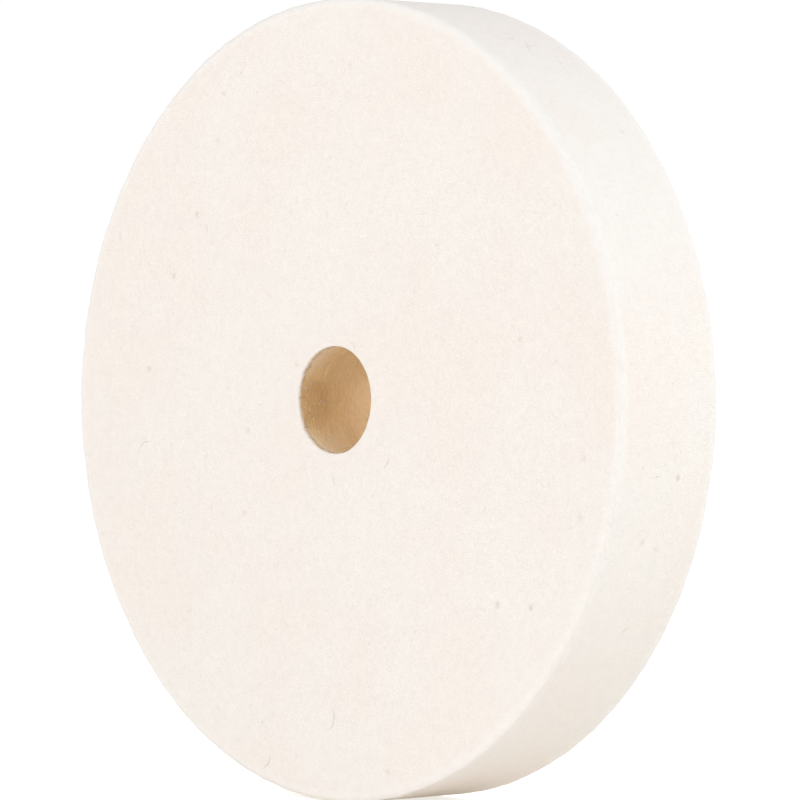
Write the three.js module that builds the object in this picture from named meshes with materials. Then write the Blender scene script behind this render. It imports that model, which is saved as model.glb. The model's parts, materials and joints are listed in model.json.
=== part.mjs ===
// A felt polishing wheel for a bench grinder: a thick disc of hard pressed wool felt with a plain
// bore. The wall of the bore is a thin sleeve of stiffened tan fibre, set in a groove in the felt, so
// that the felt closes over both of its ends and the two mouths of the bore are felt.
//
// Millimetres, +Z up. The wheel turns about the Y axis, the origin is the middle of the bore, and the
// front face looks along -Y.

import * as THREE from "three";

// Driving dimensions.
const WHEEL_DIAMETER = 150;
const WHEEL_THICKNESS = 25;
const BORE_DIAMETER = 20;
const RIM_EDGE_RADIUS = 1.3; // rounding between a face and the rim
const MOUTH_EDGE_RADIUS = 0.4; // rounding between a face and the bore
const LIP_DEPTH = 1.0; // felt between a face and the groove for the sleeve
const SLEEVE_WALL = 1.2;
const SLEEVE_GAP = 0.3; // free space between the sleeve and the groove

// Fineness of the round surfaces.
const SEGMENTS_AROUND = 96;
const STEPS_PER_EDGE = 4;

const WHEEL_RADIUS = WHEEL_DIAMETER / 2;
const HALF_THICKNESS = WHEEL_THICKNESS / 2;
const BORE_RADIUS = BORE_DIAMETER / 2;
const GROOVE_RADIUS = BORE_RADIUS + SLEEVE_WALL + SLEEVE_GAP;
const GROOVE_HALF_LENGTH = HALF_THICKNESS - LIP_DEPTH;
const SLEEVE_HALF_LENGTH = GROOVE_HALF_LENGTH - SLEEVE_GAP;

// Turns a closed outline about the Y axis. An outline's x is the distance from the axis, and it runs
// anticlockwise, so that the faces point out.
function turned(outline) {
  const points = outline.closePath().getPoints(STEPS_PER_EDGE / 2);
  return new THREE.LatheGeometry(points, SEGMENTS_AROUND);
}

// Adds to the outline a quarter circle about (x, y), which starts at the given number of right angles.
function quarterRound(outline, x, y, radius, rightAngles) {
  const start = (rightAngles * Math.PI) / 2;
  outline.absarc(x, y, radius, start, start + Math.PI / 2, false);
}

function feltDisc() {
  const mouth = BORE_RADIUS + MOUTH_EDGE_RADIUS;
  const mouthHeight = HALF_THICKNESS - MOUTH_EDGE_RADIUS;
  const rim = WHEEL_RADIUS - RIM_EDGE_RADIUS;
  const rimHeight = HALF_THICKNESS - RIM_EDGE_RADIUS;

  const outline = new THREE.Path();
  outline.moveTo(BORE_RADIUS, -GROOVE_HALF_LENGTH);
  quarterRound(outline, mouth, -mouthHeight, MOUTH_EDGE_RADIUS, 2);
  quarterRound(outline, rim, -rimHeight, RIM_EDGE_RADIUS, 3);
  quarterRound(outline, rim, rimHeight, RIM_EDGE_RADIUS, 0);
  quarterRound(outline, mouth, mouthHeight, MOUTH_EDGE_RADIUS, 1);
  outline.lineTo(BORE_RADIUS, GROOVE_HALF_LENGTH);
  outline.lineTo(GROOVE_RADIUS, GROOVE_HALF_LENGTH);
  outline.lineTo(GROOVE_RADIUS, -GROOVE_HALF_LENGTH);
  return turned(outline);
}

function boreSleeve() {
  const outline = new THREE.Path();
  outline.moveTo(BORE_RADIUS, SLEEVE_HALF_LENGTH);
  outline.lineTo(BORE_RADIUS, -SLEEVE_HALF_LENGTH);
  outline.lineTo(BORE_RADIUS + SLEEVE_WALL, -SLEEVE_HALF_LENGTH);
  outline.lineTo(BORE_RADIUS + SLEEVE_WALL, SLEEVE_HALF_LENGTH);
  return turned(outline);
}

function piece(name, geometry, color, roughness) {
  const material = new THREE.MeshStandardMaterial({ color, roughness, metalness: 0 });
  const mesh = new THREE.Mesh(geometry, material);
  mesh.name = name;
  return mesh;
}

const wheel = new THREE.Group();
wheel.add(
  piece("felt_disc", feltDisc(), 0xf8efe6, 0.95),
  piece("bore_sleeve", boreSleeve(), 0xc29b6b, 0.9),
);

export default wheel;
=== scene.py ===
# Looks of the felt polishing wheel: a thick cream disc of hard pressed wool felt with a tan,
# fibrous bore. Metres, in the part's frame: the wheel turns about Y, the front face looks along -Y.

import json
import math
import random

import bpy
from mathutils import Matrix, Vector, noise

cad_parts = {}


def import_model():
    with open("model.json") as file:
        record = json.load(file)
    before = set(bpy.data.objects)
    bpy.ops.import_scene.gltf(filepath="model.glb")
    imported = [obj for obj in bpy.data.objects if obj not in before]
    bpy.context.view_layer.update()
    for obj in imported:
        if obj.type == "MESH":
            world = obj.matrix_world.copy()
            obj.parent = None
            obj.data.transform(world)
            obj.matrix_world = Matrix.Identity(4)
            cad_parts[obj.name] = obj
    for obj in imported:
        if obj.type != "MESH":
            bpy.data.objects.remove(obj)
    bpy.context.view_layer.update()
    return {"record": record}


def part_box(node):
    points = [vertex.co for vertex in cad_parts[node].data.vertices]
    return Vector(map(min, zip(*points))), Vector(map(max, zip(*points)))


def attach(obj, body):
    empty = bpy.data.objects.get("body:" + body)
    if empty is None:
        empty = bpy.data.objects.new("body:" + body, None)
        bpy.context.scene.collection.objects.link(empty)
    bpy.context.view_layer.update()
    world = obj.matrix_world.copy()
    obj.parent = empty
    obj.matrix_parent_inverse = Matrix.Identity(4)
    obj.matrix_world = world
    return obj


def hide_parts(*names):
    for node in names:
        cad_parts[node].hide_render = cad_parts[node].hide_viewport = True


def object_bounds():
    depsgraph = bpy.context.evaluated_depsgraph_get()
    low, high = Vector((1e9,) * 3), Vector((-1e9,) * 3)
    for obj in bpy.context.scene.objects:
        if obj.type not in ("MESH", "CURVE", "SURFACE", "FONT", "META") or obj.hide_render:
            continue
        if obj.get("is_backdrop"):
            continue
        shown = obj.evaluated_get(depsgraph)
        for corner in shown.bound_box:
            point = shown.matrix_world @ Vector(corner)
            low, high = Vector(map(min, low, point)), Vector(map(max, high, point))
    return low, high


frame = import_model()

# ---------------------------------------------------------------------------------------------
# Sizes. The big ones come from the frame.

MM = 0.001

WHEEL_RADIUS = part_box("felt_disc")[1][0]
HALF_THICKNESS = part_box("felt_disc")[1][1]
SLEEVE_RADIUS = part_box("bore_sleeve")[1][0]
MOUNTS = {mount["name"]: mount for mount in frame["record"]["mounts"]}
BORE_RADIUS = MOUNTS["arbor_bore"]["dims"]["r_mm"] * MM

RIM_EDGE = 1.3 * MM  # width of the rounding between a face and the rim
RIM_TURN = 58  # degrees that the rounding turns before it meets the rim
RIM_CORNER = 0.12 * MM  # from that blunt corner to the first ring of the rim
MOUTH_EDGE = 0.4 * MM  # rounding between a face and the bore
LIP_DEPTH = 1.0 * MM  # felt in front of each end of the sleeve
SEAM = 0.02 * MM  # what is left between the sleeve and the felt around it

SEGMENTS = 540  # around the disc
RING_SPACING = 1.2 * MM  # between two rings of a face or of the rim
SLEEVE_SEGMENTS = 300
SLEEVE_RING_SPACING = 0.25 * MM
ARC_STEPS = 6

rng = random.Random(7)


# ---------------------------------------------------------------------------------------------
# Meshes


def quarter(r, y, radius, right_angles):
    """Points of a quarter circle about (r, y) in an outline, from that many right angles on."""
    angles = [(right_angles + i / ARC_STEPS) * math.pi / 2 for i in range(ARC_STEPS + 1)]
    return [(r + radius * math.cos(a), y + radius * math.sin(a)) for a in angles]


def rim_edge(side):
    """Where a face rounds off and meets the rim at a blunt corner, from the face to the rim."""
    turn = math.radians(RIM_TURN)
    radius = RIM_EDGE / math.sin(turn)
    angles = [turn * i / ARC_STEPS for i in range(ARC_STEPS + 1)]
    start, y = WHEEL_RADIUS - RIM_EDGE, HALF_THICKNESS - radius
    points = [(start + radius * math.sin(a), side * (y + radius * math.cos(a))) for a in angles]
    points.append((WHEEL_RADIUS, points[-1][1] - side * RIM_CORNER))
    return points


def filled(corners, spacing):
    """A closed outline through all these points, with more points along its long stretches."""
    outline = []
    for start, end in zip(corners, corners[1:] + corners[:1]):
        count = max(1, round(math.dist(start, end) / spacing))
        step = (end[0] - start[0]) / count, (end[1] - start[1]) / count
        outline += [(start[0] + step[0] * i, start[1] + step[1] * i) for i in range(count)]
    return outline


def add_mesh(name, vertices, faces, material):
    mesh = bpy.data.meshes.new(name)
    mesh.from_pydata([tuple(v) for v in vertices], [], faces)
    mesh.polygons.foreach_set("use_smooth", [True] * len(mesh.polygons))
    mesh.materials.append(material)
    mesh.update()
    piece = bpy.data.objects.new(name, mesh)
    bpy.context.scene.collection.objects.link(piece)
    return piece


def turned(name, outline, segments, relief, material):
    """A closed outline of (radius, y) points turned about the Y axis. relief(place) is how far the
    surface stands proud of the turned shape there."""
    around = len(outline)
    vertices = []
    for i, (r, y) in enumerate(outline):
        before, after = outline[i - 1], outline[(i + 1) % around]
        out = Vector((after[1] - before[1], before[0] - after[0])).normalized()
        for j in range(segments):
            c, s = math.cos(math.tau * j / segments), math.sin(math.tau * j / segments)
            place = Vector((r * c, y, r * s))
            vertices.append(place + Vector((out[0] * c, out[1], out[0] * s)) * relief(place))
    faces = []
    for i in range(around):
        this, following = i * segments, (i + 1) % around * segments
        for j in range(segments):
            k = (j + 1) % segments
            faces.append((this + j, this + k, following + k, following + j))
    return add_mesh(name, vertices, faces, material)


def fibre_mesh(name, fibres, material, sides=4):
    """Thin closed tubes that taper to a point at both ends. A fibre is (points, up, radius)."""
    vertices, faces = [], []
    for points, up, radius in fibres:
        first = len(vertices)
        last = len(points) - 1
        vertices.append(points[0])
        for i in range(1, last):
            along = (points[i + 1] - points[i - 1]).normalized()
            side = along.cross(up).normalized()
            over = side.cross(along)
            thick = radius * math.sin(math.pi * i / last) ** 0.4
            for k in range(sides):
                a = math.tau * k / sides
                vertices.append(points[i] + (side * math.cos(a) + over * math.sin(a)) * thick)
        vertices.append(points[last])
        rings = last - 1
        tip = first + 1 + rings * sides
        for k in range(sides):
            m = (k + 1) % sides
            faces.append((first, first + 1 + m, first + 1 + k))
            faces.append((tip, tip - sides + k, tip - sides + m))
            for i in range(rings - 1):
                a = first + 1 + i * sides
                faces.append((a + k, a + m, a + sides + m, a + sides + k))
    return add_mesh(name, vertices, faces, material)


# ---------------------------------------------------------------------------------------------
# The uneven surface of pressed felt


def ramp(value, low, high):
    t = min(1.0, max(0.0, (value - low) / (high - low)))
    return t * t * (3 - 2 * t)


def edge_share(place):
    """1 on the rounded edges between the faces and the rim, and 0 well away from them."""
    r = math.hypot(place.x, place.z)
    near_rim = ramp(r, WHEEL_RADIUS - 3.5 * MM, WHEEL_RADIUS - RIM_EDGE)
    near_face = ramp(abs(place.y), HALF_THICKNESS - 3.5 * MM, HALF_THICKNESS - RIM_EDGE)
    return near_rim * near_face


def bore_relief(place):
    """The wall of the bore: fine cuts that run around it, over shallow lumps."""
    drawn_out = Vector((place.x * 150, place.y * 1500, place.z * 150))
    cuts = min(0.0, noise.noise(drawn_out) - 0.05) * 0.14 * MM
    return cuts + noise.noise(place * 240) * 0.06 * MM


def felt_relief(place):
    r = math.hypot(place.x, place.z)
    waves = (noise.noise(place * 38) * 0.08 - 0.06) * MM
    tufts = noise.noise(place * 170 + Vector((3, 1, 7))) * 0.03 * MM
    nap = noise.noise(place * 520 + Vector((9, 4, 2))) * 0.02 * MM
    frayed = noise.noise(place * 240 + Vector((5, 8, 1))) * 0.10 * MM
    frayed += noise.noise(place * 620 + Vector((2, 6, 3))) * 0.08 * MM
    outside = waves + tufts + nap + frayed * edge_share(place)
    share = ramp(r, BORE_RADIUS + 0.1 * MM, BORE_RADIUS + 2 * MM)
    return bore_relief(place) * (1 - share) + outside * share


# ---------------------------------------------------------------------------------------------
# Materials


# Turns about x, y and z, in radians: in the plane of the faces, leaning out of it, and across the rim.
WEB_TURNS = [(0, 0.3, 0), (0, 1.35, 0), (0, 2.4, 0), (0, 0.8, 0.8), (0, 2.2, -0.8), (0, 0, 1.57)]


class Nodes:
    """Short ways to build a node tree."""

    def __init__(self, name):
        self.material = bpy.data.materials.new(name)
        self.material.use_nodes = True
        self.tree = self.material.node_tree
        self.tree.nodes.clear()

    def add(self, kind, inputs=(), **settings):
        made = self.tree.nodes.new(kind)
        for key, value in settings.items():
            setattr(made, key, value)
        for key, value in dict(inputs).items():
            if isinstance(value, bpy.types.NodeSocket):
                self.tree.links.new(value, made.inputs[key])
            else:
                made.inputs[key].default_value = value
        return made

    def maths(self, operation, a, b=0.0):
        return self.add("ShaderNodeMath", {0: a, 1: b}, operation=operation).outputs[0]

    def ramp(self, value, low, high, to_low=0.0, to_high=1.0):
        inputs = {"Value": value, "From Min": low, "From Max": high}
        inputs |= {"To Min": to_low, "To Max": to_high}
        made = self.add("ShaderNodeMapRange", inputs, interpolation_type="SMOOTHSTEP")
        return made.outputs["Result"]

    def noise(self, where, size, detail=2.0, rough=0.5):
        """Noise whose features are about that many metres across."""
        inputs = {"Vector": where, "Scale": 1 / size, "Detail": detail, "Roughness": rough}
        return self.add("ShaderNodeTexNoise", inputs).outputs["Fac"]

    def strands(self, where, size, turn):
        """Soft bright lines in one direction, as fibres lie in pressed wool."""
        inputs = {"Vector": where, "Rotation": turn, "Scale": (6, 1, 1)}
        along = self.add("ShaderNodeMapping", inputs, vector_type="TEXTURE").outputs[0]
        middle = self.maths("ABSOLUTE", self.maths("SUBTRACT", self.noise(along, size, 1.0), 0.5))
        return self.ramp(middle, 0.14, 0.0)

    def web(self, where, size):
        """Strands in several directions, bent by slow noise, laid over one another."""
        drift = self.add("ShaderNodeTexNoise", {"Vector": where, "Scale": 1 / (8 * size)})
        bent = self.add(
            "ShaderNodeVectorMath",
            {0: drift.outputs["Color"], 1: (5 * size,) * 3, 2: where},
            operation="MULTIPLY_ADD",
        ).outputs[0]
        total = 0.0
        for turn in WEB_TURNS:
            total = self.maths("ADD", total, self.strands(bent, size, turn))
        return self.maths("MULTIPLY", total, 1 / len(WEB_TURNS))

    def blend(self, share, a, b, how="MIX"):
        made = self.add("ShaderNodeMix", data_type="RGBA", blend_type=how)
        for socket, value in zip((made.inputs[0], made.inputs[6], made.inputs[7]), (share, a, b)):
            if isinstance(value, bpy.types.NodeSocket):
                self.tree.links.new(value, socket)
            elif isinstance(value, tuple):
                socket.default_value = (*value, 1.0)
            else:
                socket.default_value = value
        return made.outputs[2]

    def finish(self, colour, roughness, height, depth, sheen=0.0, tint=(1, 1, 1)):
        bump = self.add("ShaderNodeBump", {"Height": height, "Distance": depth, "Strength": 1.0})
        inputs = {"Base Color": colour, "Roughness": roughness, "Normal": bump.outputs[0]}
        shader = self.add("ShaderNodeBsdfPrincipled", inputs)
        shader.inputs["Specular IOR Level"].default_value = 0.25
        shader.inputs["Sheen Weight"].default_value = sheen
        shader.inputs["Sheen Roughness"].default_value = 0.6
        shader.inputs["Sheen Tint"].default_value = (*tint, 1.0)
        self.add("ShaderNodeOutputMaterial", {"Surface": shader.outputs[0]})
        return self.material


CREAM = (0.825, 0.782, 0.74)
WARM_CREAM = (0.83, 0.768, 0.718)
# PALE_CREAM: colour of the pale fuzz fibres, and of the painted highlight along the rounded edges
PALE_CREAM = (0.865, 0.825, 0.79)
SPOT_CREAM = (0.62, 0.53, 0.44)
DEEP_TAN = (0.44, 0.29, 0.14)
TAN = (0.80, 0.57, 0.30)
DARK_TAN = (0.665, 0.44, 0.215)
PALE_TAN = (0.87, 0.65, 0.405)
# MOUTH_TAN: the paler tan near the ends of the bore, where it stands for painted light that comes in at
# the openings
MOUTH_TAN = (0.86, 0.70, 0.53)
# Painted shade: the bore is coloured darkest around this point, deep in the middle of the left wall.
BORE_SHADE_MIDDLE = (-10 * MM, -9 * MM, -0.5 * MM)  # middle of the darkest part of the bore


def place_nodes(n):
    """Object coordinates, and the distances from the axis and from the middle plane."""
    where = n.add("ShaderNodeTexCoord").outputs["Object"]
    parts = n.add("ShaderNodeSeparateXYZ", {0: where})
    x, y, z = parts.outputs
    squares = n.maths("ADD", n.maths("MULTIPLY", x, x), n.maths("MULTIPLY", z, z))
    return where, n.maths("SQRT", squares), n.maths("ABSOLUTE", y)


SPOT_SPACING = 7.5 * MM
SPOT_WIDTH = 1.6 * MM


def spots(n, where):
    """How much darker wool shows through: small ragged spots, few and far between."""
    cells = n.add("ShaderNodeTexVoronoi", {"Vector": where, "Scale": 1 / SPOT_SPACING}).outputs
    ragged = n.maths("SUBTRACT", n.noise(where, 0.7 * MM), 0.5)
    away = n.maths("ADD", cells["Distance"], n.maths("MULTIPLY", ragged, SPOT_WIDTH / SPOT_SPACING))
    strength = n.add("ShaderNodeSeparateColor", {0: cells["Color"]}).outputs[0]
    return n.maths("MULTIPLY", n.ramp(away, 0.6 * SPOT_WIDTH / SPOT_SPACING, 0.0), strength)


def felt_material():
    """Pressed wool: a matted web of fine fibres, faintly mottled, with a painted highlight along the
    rounded edges.
    """
    n = Nodes("wool_felt")
    where, radius, depth = place_nodes(n)
    patches = n.noise(where, 26 * MM, detail=3.0)
    colour = n.blend(n.ramp(patches, 0.35, 0.65), CREAM, WARM_CREAM)

    web = n.web(where, 0.2 * MM)
    tufts = n.noise(where, 2.6 * MM, detail=3.0)
    shade = n.maths("ADD", n.ramp(web, 0.1, 0.6, 0.97, 1.05), n.ramp(tufts, 0.35, 0.65, -0.008, 0.006))
    grey = n.add("ShaderNodeCombineColor", {0: shade, 1: shade, 2: shade}).outputs[0]
    colour = n.blend(1.0, colour, grey, "MULTIPLY")

    colour = n.blend(n.maths("MULTIPLY", spots(n, where), 0.62), colour, SPOT_CREAM)

    # Paler on the rounded edges between the faces and the rim: a painted highlight, patchy with the tufts.
    near_rim = n.ramp(radius, WHEEL_RADIUS - 2.6 * MM, WHEEL_RADIUS - 1.0 * MM)
    near_face = n.ramp(depth, HALF_THICKNESS - 2.6 * MM, HALF_THICKNESS - 1.0 * MM)
    edge_highlight = n.maths("MULTIPLY", n.maths("MULTIPLY", near_rim, near_face), n.ramp(tufts, 0.2, 0.6, 0.5, 1.0))
    colour = n.blend(edge_highlight, colour, PALE_CREAM)

    in_bore = n.ramp(radius, BORE_RADIUS + 0.35 * MM, BORE_RADIUS + 0.1 * MM)
    deep = n.ramp(depth, HALF_THICKNESS - 0.1 * MM, HALF_THICKNESS - LIP_DEPTH)
    colour = n.blend(n.maths("MULTIPLY", in_bore, deep), colour, MOUTH_TAN)

    height = n.maths("ADD", web, n.maths("MULTIPLY", tufts, 0.4))
    roughness = n.ramp(web, 0.0, 0.8, 0.98, 0.86)
    return n.finish(colour, roughness, height, 0.06 * MM, sheen=0.04, tint=(1.0, 0.97, 0.93))


def sleeve_material():
    """Tan fibre, cut by a drill: streaks run around the bore, and pale fibres show in them."""
    n = Nodes("tan_fibre")
    where, radius, depth = place_nodes(n)
    around = n.add("ShaderNodeMapping", {"Vector": where, "Scale": (1.0, 8.0, 1.0)}).outputs[0]
    streaks = n.noise(around, 1.9 * MM, detail=4.0, rough=0.65)
    web = n.web(where, 0.16 * MM)
    patches = n.noise(where, 6.0 * MM, detail=2.0)
    flecks = n.noise(around, 0.9 * MM, detail=1.0)
    # Paler towards the back end of the bore: painted light that comes in at the back opening.
    back = n.ramp(n.add("ShaderNodeSeparateXYZ", {0: where}).outputs["Y"], -4 * MM, 8 * MM)
    # Darker around the middle of the left wall, paler away from it: painted shade deep in the bore.
    from_shade = n.add("ShaderNodeVectorMath", {0: where, 1: BORE_SHADE_MIDDLE}, operation="DISTANCE")
    out_of_shade = n.ramp(from_shade.outputs["Value"], 1 * MM, 9.5 * MM)
    pale = n.maths("ADD", n.maths("MULTIPLY", back, 0.3), n.ramp(patches, 0.35, 0.7, -0.1, 0.2))
    pale = n.maths("ADD", pale, n.maths("MULTIPLY", out_of_shade, 0.9))
    colour = n.blend(n.ramp(pale, 0.0, 0.6), DARK_TAN, TAN)
    colour = n.blend(n.ramp(pale, 0.5, 1.2), colour, PALE_TAN)
    shade = n.maths("ADD", n.ramp(streaks, 0.36, 0.62, 0.87, 1.03), n.ramp(web, 0.1, 0.6, -0.06, 0.06))
    grey = n.add("ShaderNodeCombineColor", {0: shade, 1: shade, 2: shade}).outputs[0]
    colour = n.blend(1.0, colour, grey, "MULTIPLY")
    colour = n.blend(n.ramp(flecks, 0.66, 0.76, 0.0, 0.6), colour, PALE_TAN)
    # Paler near both ends of the bore: painted light that comes in at the openings, kept off the painted
    # shade.
    mouth = n.ramp(depth, HALF_THICKNESS - 4.5 * MM, HALF_THICKNESS - LIP_DEPTH)
    mouth = n.maths("MULTIPLY", mouth, n.ramp(patches, 0.3, 0.6, 0.6, 1.0))
    colour = n.blend(n.maths("MULTIPLY", mouth, n.ramp(out_of_shade, 0.3, 1.0)), colour, MOUTH_TAN)
    height = n.maths("ADD", streaks, n.maths("MULTIPLY", web, 0.7))
    return n.finish(colour, n.ramp(streaks, 0.3, 0.7, 0.95, 0.8), height, 0.08 * MM, sheen=0.05)


def hair_material():
    """Odd dark hairs and specks in the wool, from grey-brown to tan."""
    n = Nodes("dark_wool")
    where = place_nodes(n)[0]
    change = n.noise(where, 9 * MM, detail=1.0)
    colour = n.blend(n.ramp(change, 0.35, 0.65), (0.22, 0.165, 0.115), (0.45, 0.33, 0.21))
    return n.finish(colour, 0.8, n.noise(where, 0.1 * MM), 0.01 * MM)


def fibre_material(name, one, other):
    """Single fibres, in colours between these two."""
    n = Nodes(name)
    where = place_nodes(n)[0]
    colour = n.blend(n.ramp(n.noise(where, 3 * MM), 0.3, 0.7), one, other)
    return n.finish(colour, 0.85, n.noise(where, 0.1 * MM), 0.005 * MM, sheen=0.1)


# ---------------------------------------------------------------------------------------------
# The two bodies of the wheel


def felt_disc():
    groove_radius, groove_half = SLEEVE_RADIUS + SEAM, HALF_THICKNESS - LIP_DEPTH
    mouth, mouth_y = BORE_RADIUS + MOUTH_EDGE, HALF_THICKNESS - MOUTH_EDGE
    corners = [(groove_radius, -groove_half), (BORE_RADIUS, -groove_half)]
    corners += quarter(mouth, -mouth_y, MOUTH_EDGE, 2)
    corners += rim_edge(-1) + rim_edge(1)[::-1]
    corners += quarter(mouth, mouth_y, MOUTH_EDGE, 1)
    corners += [(BORE_RADIUS, groove_half), (groove_radius, groove_half)]

    def relief(place):
        in_groove = abs(place.y) < groove_half + SEAM / 2 and place.length < WHEEL_RADIUS / 2
        return 0.0 if in_groove else felt_relief(place)

    outline = filled(corners, RING_SPACING)
    return turned("felt_wheel_disc", outline, SEGMENTS, relief, felt_material())


def bore_sleeve():
    half = HALF_THICKNESS - LIP_DEPTH - SEAM
    corners = [(BORE_RADIUS, half), (BORE_RADIUS, -half), (SLEEVE_RADIUS, -half), (SLEEVE_RADIUS, half)]

    def relief(place):
        outside = math.hypot(place.x, place.z) > BORE_RADIUS + SEAM
        return 0.0 if outside else bore_relief(place)

    outline = filled(corners, SLEEVE_RING_SPACING)
    return turned("bore_sleeve_wall", outline, SLEEVE_SEGMENTS, relief, sleeve_material())


# ---------------------------------------------------------------------------------------------
# Loose fibres. A surface is a function from two lengths on it to a place and the way out of it.


def on_face(side):
    def surface(a, b):
        return Vector((a, side * HALF_THICKNESS, b)), Vector((0, side, 0))

    return surface


def on_rim(a, b):
    c, s = math.cos(a / WHEEL_RADIUS), math.sin(a / WHEEL_RADIUS)
    return Vector((WHEEL_RADIUS * c, b, WHEEL_RADIUS * s)), Vector((c, 0, s))


def in_bore(a, b):
    c, s = math.cos(a / BORE_RADIUS), math.sin(a / BORE_RADIUS)
    return Vector((BORE_RADIUS * c, b, BORE_RADIUS * s)), Vector((-c, 0, -s))


def laid_fibre(surface, a, b, length, heading, bend, radius, lift, steps=7):
    """A fibre that lies on a surface in an arc through (a, b), with its ends sunk in the felt."""
    points = []
    for i in range(steps + 1):
        t = i / steps - 0.5
        turn = heading + bend * t
        a_i = a + length * t * math.cos(turn)
        b_i = b + length * t * math.sin(turn)
        place, out = surface(a_i, b_i)
        rise = lift * math.sin(math.pi * i / steps) - radius
        points.append(place + out * (felt_relief(place) + rise))
    return points, surface(a, b)[1], radius


def scattered(surface):
    """A random spot on a surface, in that surface's two lengths."""
    if surface is on_rim:
        return rng.uniform(0, math.tau) * WHEEL_RADIUS, rng.uniform(-0.85, 0.85) * HALF_THICKNESS
    r = math.sqrt(rng.uniform((BORE_RADIUS + 2 * MM) ** 2, (WHEEL_RADIUS - 3 * MM) ** 2))
    angle = rng.uniform(0, math.tau)
    return r * math.cos(angle), r * math.sin(angle)


def at_hour(surface, hour, share):
    """Where an hour on a clock face seen from the front is, in a surface's two lengths."""
    angle = math.radians(90 - 30 * hour)
    if surface is on_rim:
        return angle * WHEEL_RADIUS, share * HALF_THICKNESS
    return share * WHEEL_RADIUS * math.cos(angle), share * WHEEL_RADIUS * math.sin(angle)


def dark_hairs():
    """Nine hairs that show most, placed as listed, then odd ones on every side."""
    front, back = on_face(-1), on_face(1)
    # hour on a clock face, share of the radius or of half the thickness, length and thickness in mm,
    # then heading and bend in degrees
    on_front = [
        (6.0, 0.80, 5.5, 0.044, 75, 60),
        (6.5, 0.95, 4.0, 0.040, 55, 40),
        (8.7, 0.75, 5.5, 0.046, 35, -60),
        (6.0, 0.20, 3.0, 0.036, 110, 40),
        (4.3, 0.25, 3.0, 0.036, 55, 30),
        (10.4, 0.65, 3.0, 0.036, 95, 20),
    ]
    on_side = [
        (1.0, 0.1, 5.5, 0.024, 32, 15),
        (1.0, 0.2, 5.0, 0.024, 68, -15),
        (4.1, 0.1, 2.4, 0.034, 50, 30),
    ]
    fibres = []
    for surface, shown in ((front, on_front), (on_rim, on_side)):
        for hour, share, length, thick, heading, bend in shown:
            place = at_hour(surface, hour, share)
            turn = math.radians(heading), math.radians(bend)
            fibres.append(laid_fibre(surface, *place, length * MM, *turn, thick / 2 * MM, 0.05 * MM))
    for surface, count in ((front, 14), (back, 20), (on_rim, 18)):
        for _ in range(count):
            a, b = scattered(surface)
            length = rng.uniform(1.0, 3.0) * MM
            radius = rng.uniform(0.008, 0.014) * MM
            heading, bend = rng.uniform(0, math.tau), rng.uniform(-1.4, 1.4)
            fibres.append(laid_fibre(surface, a, b, length, heading, bend, radius, 0.03 * MM))
    return fibre_mesh("dark_hairs", fibres, hair_material())


def specks():
    """Crumbs of burr and dust pressed into the wool."""
    fibres = []
    for surface, count in ((on_face(-1), 60), (on_face(1), 80), (on_rim, 50)):
        for _ in range(count):
            a, b = scattered(surface)
            half = rng.uniform(0.05, 0.12) * MM
            radius = half * rng.uniform(0.25, 0.4)
            heading = rng.uniform(0, math.tau)
            fibres.append(laid_fibre(surface, a, b, 2 * half, heading, 0.3, radius, radius * 0.4, 5))
    return fibre_mesh("wool_specks", fibres, hair_material(), sides=5)


def fuzz():
    """Short pale fibres that stand up a little on the faces and the rim."""
    fibres = []
    for surface, count in ((on_face(-1), 500), (on_face(1), 500), (on_rim, 400)):
        for _ in range(count):
            a, b = scattered(surface)
            length = rng.uniform(0.6, 1.8) * MM
            heading, bend = rng.uniform(0, math.tau), rng.uniform(-2, 2)
            lift = rng.uniform(0.02, 0.16) * MM
            fibres.append(laid_fibre(surface, a, b, length, heading, bend, 0.014 * MM, lift, 5))
    return fibre_mesh("pale_fuzz", fibres, fibre_material("pale_wool", CREAM, PALE_CREAM), sides=3)


def bore_flecks():
    """Pale fibres caught in the wall of the bore, most of them near its two ends and low down."""
    fibres = []
    while len(fibres) < 520:
        angle = rng.uniform(0, math.tau)
        along = rng.choice((-1, 1)) * (HALF_THICKNESS - LIP_DEPTH - abs(rng.gauss(0, 5)) * MM)
        if abs(along) > HALF_THICKNESS - LIP_DEPTH or rng.random() > 0.45 - 0.55 * math.sin(angle):
            continue
        length = rng.uniform(0.3, 1.1) * MM
        heading, bend = rng.gauss(0, 0.6), rng.uniform(-1.5, 1.5)
        radius, lift = rng.uniform(0.04, 0.10) * MM, rng.uniform(0.10, 0.24) * MM
        place = angle * BORE_RADIUS, along
        fibres.append(laid_fibre(in_bore, *place, length, heading, bend, radius, lift, 5))
    return fibre_mesh("bore_flecks", fibres, fibre_material("straw_wool", PALE_TAN, WARM_CREAM))


def mouth_fibres():
    """Cut ends of fibres that stand up around both ends of the bore."""
    fibres = []
    for _ in range(360):
        place = rng.uniform(0, math.tau) * BORE_RADIUS, HALF_THICKNESS - rng.uniform(0.3, 1.4) * MM
        side = rng.choice((-1, 1))
        length, heading = rng.uniform(0.4, 1.3) * MM, rng.uniform(0, math.tau)
        radius, lift = rng.uniform(0.025, 0.06) * MM, rng.uniform(0.08, 0.26) * MM
        bend = rng.uniform(-1.5, 1.5)
        fibre = laid_fibre(in_bore, place[0], side * place[1], length, heading, bend, radius, lift, 6)
        fibres.append(fibre)
    return fibre_mesh("mouth_fibres", fibres, fibre_material("tan_wool", DEEP_TAN, TAN))


# ---------------------------------------------------------------------------------------------
# Stage: floor, light and camera


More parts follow.
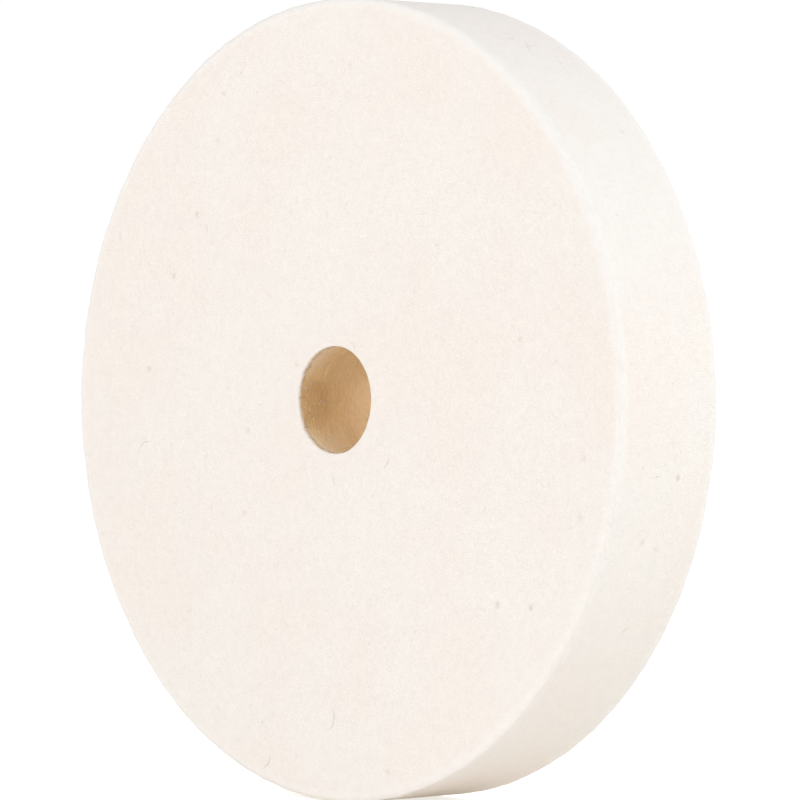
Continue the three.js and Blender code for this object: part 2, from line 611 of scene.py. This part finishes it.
AMBIENT = (0.70, 0.70, 0.70)
BACKDROP = (1.02, 1.02, 1.02)
FLOOR_GLOW = (0.224, 0.198, 0.158)  # what the floor adds to the light on the wheel
FLOOR_SEEN = (0.58, 0.58, 0.58)  # what it adds to its own look
FLOOR_RADIUS = 4.0
FLOOR_SIDES = 96
FLOOR_GAP = 0.02 * MM  # between the floor and the lowest point of the wheel
LIGHT_DISTANCE = 1.5
LIGHT_SIZE = 1.0
CAMERA_AZIMUTH, CAMERA_ELEVATION = 46.98, 0.316  # degrees
CAMERA_DISTANCE = 0.9167
CAMERA_ASIDE = 12.37 * MM
CAMERA_LENS, CAMERA_SENSOR = 221.05, 36.0  # in mm


def floor():
    n = Nodes("floor")
    seen = n.add("ShaderNodeLightPath").outputs["Is Camera Ray"]
    matt = n.add("ShaderNodeBsdfDiffuse", {"Color": (0.8, 0.8, 0.8, 1.0)})
    glow = n.add("ShaderNodeEmission", {"Color": n.blend(seen, FLOOR_GLOW, FLOOR_SEEN)})
    both = n.add("ShaderNodeAddShader", {0: matt.outputs[0], 1: glow.outputs[0]})
    n.add("ShaderNodeOutputMaterial", {"Surface": both.outputs[0]})
    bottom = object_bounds()[0][2] - FLOOR_GAP
    angles = [math.tau * i / FLOOR_SIDES for i in range(FLOOR_SIDES)]
    ring = [(FLOOR_RADIUS * math.cos(a), FLOOR_RADIUS * math.sin(a), bottom) for a in angles]
    piece = add_mesh("floor", ring, [tuple(range(FLOOR_SIDES))], n.material)
    piece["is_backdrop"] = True


def world():
    """A white backdrop behind the wheel, and the light that comes from all around it."""
    made = bpy.data.worlds.new("studio")
    made.use_nodes = True
    tree = made.node_tree
    background = tree.nodes["Background"]
    seen = tree.nodes.new("ShaderNodeLightPath").outputs["Is Camera Ray"]
    pick = tree.nodes.new("ShaderNodeMix")
    pick.data_type = "RGBA"
    pick.inputs[6].default_value = (*AMBIENT, 1.0)
    pick.inputs[7].default_value = (*BACKDROP, 1.0)
    tree.links.new(seen, pick.inputs[0])
    tree.links.new(pick.outputs[2], background.inputs["Color"])
    bpy.context.scene.world = made


def direction(azimuth, elevation):
    """The way from the wheel towards something at that bearing, which is 0 in front of the face."""
    a, e = math.radians(azimuth), math.radians(elevation)
    return Vector((math.sin(a) * math.cos(e), -math.cos(a) * math.cos(e), math.sin(e)))


def soft_light(name, azimuth, elevation, power, colour=(1.0, 1.0, 1.0)):
    data = bpy.data.lights.new(name, "AREA")
    data.shape = "DISK"
    data.size = LIGHT_SIZE
    data.energy = power
    data.color = colour
    made = bpy.data.objects.new(name, data)
    bpy.context.scene.collection.objects.link(made)
    towards = direction(azimuth, elevation)
    made.location = towards * LIGHT_DISTANCE
    made.rotation_euler = towards.to_track_quat("Z", "Y").to_euler()


def camera():
    """A long lens, level with the wheel, a little off to the side of the bore."""
    data = bpy.data.cameras.new("camera")
    data.sensor_width = CAMERA_SENSOR
    data.lens = CAMERA_LENS
    data.clip_start, data.clip_end = 0.05, 20.0
    made = bpy.data.objects.new("camera", data)
    bpy.context.scene.collection.objects.link(made)
    back = direction(CAMERA_AZIMUTH, CAMERA_ELEVATION)
    right = direction(CAMERA_AZIMUTH + 90, 0)
    face_centre = Vector((0, -HALF_THICKNESS, 0))
    made.location = face_centre + right * CAMERA_ASIDE + back * CAMERA_DISTANCE
    made.rotation_euler = back.to_track_quat("Z", "Y").to_euler()
    bpy.context.scene.camera = made


# ---------------------------------------------------------------------------------------------

disc = felt_disc()
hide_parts("felt_disc")
sleeve = bore_sleeve()
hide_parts("bore_sleeve")
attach(disc, "root")
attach(sleeve, "root")
for piece in (dark_hairs(), specks(), fuzz(), bore_flecks(), mouth_fibres()):
    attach(piece, "root")

floor()
world()
soft_light("front", 0, 10, 6.9, (1.01, 0.965, 0.945))
soft_light("right", 75, 35, 3.9, (0.97, 1.0, 1.01))
soft_light("behind_right", 130, 20, 5.8, (0.97, 1.0, 1.01))
soft_light("behind", 180, 5, 4.0)
soft_light("left", -50, 10, 0.8)
soft_light("top", 40, 65, 1.2, (0.15, 0.65, 1.0))
camera()
bpy.context.scene.view_settings.view_transform = "Standard"
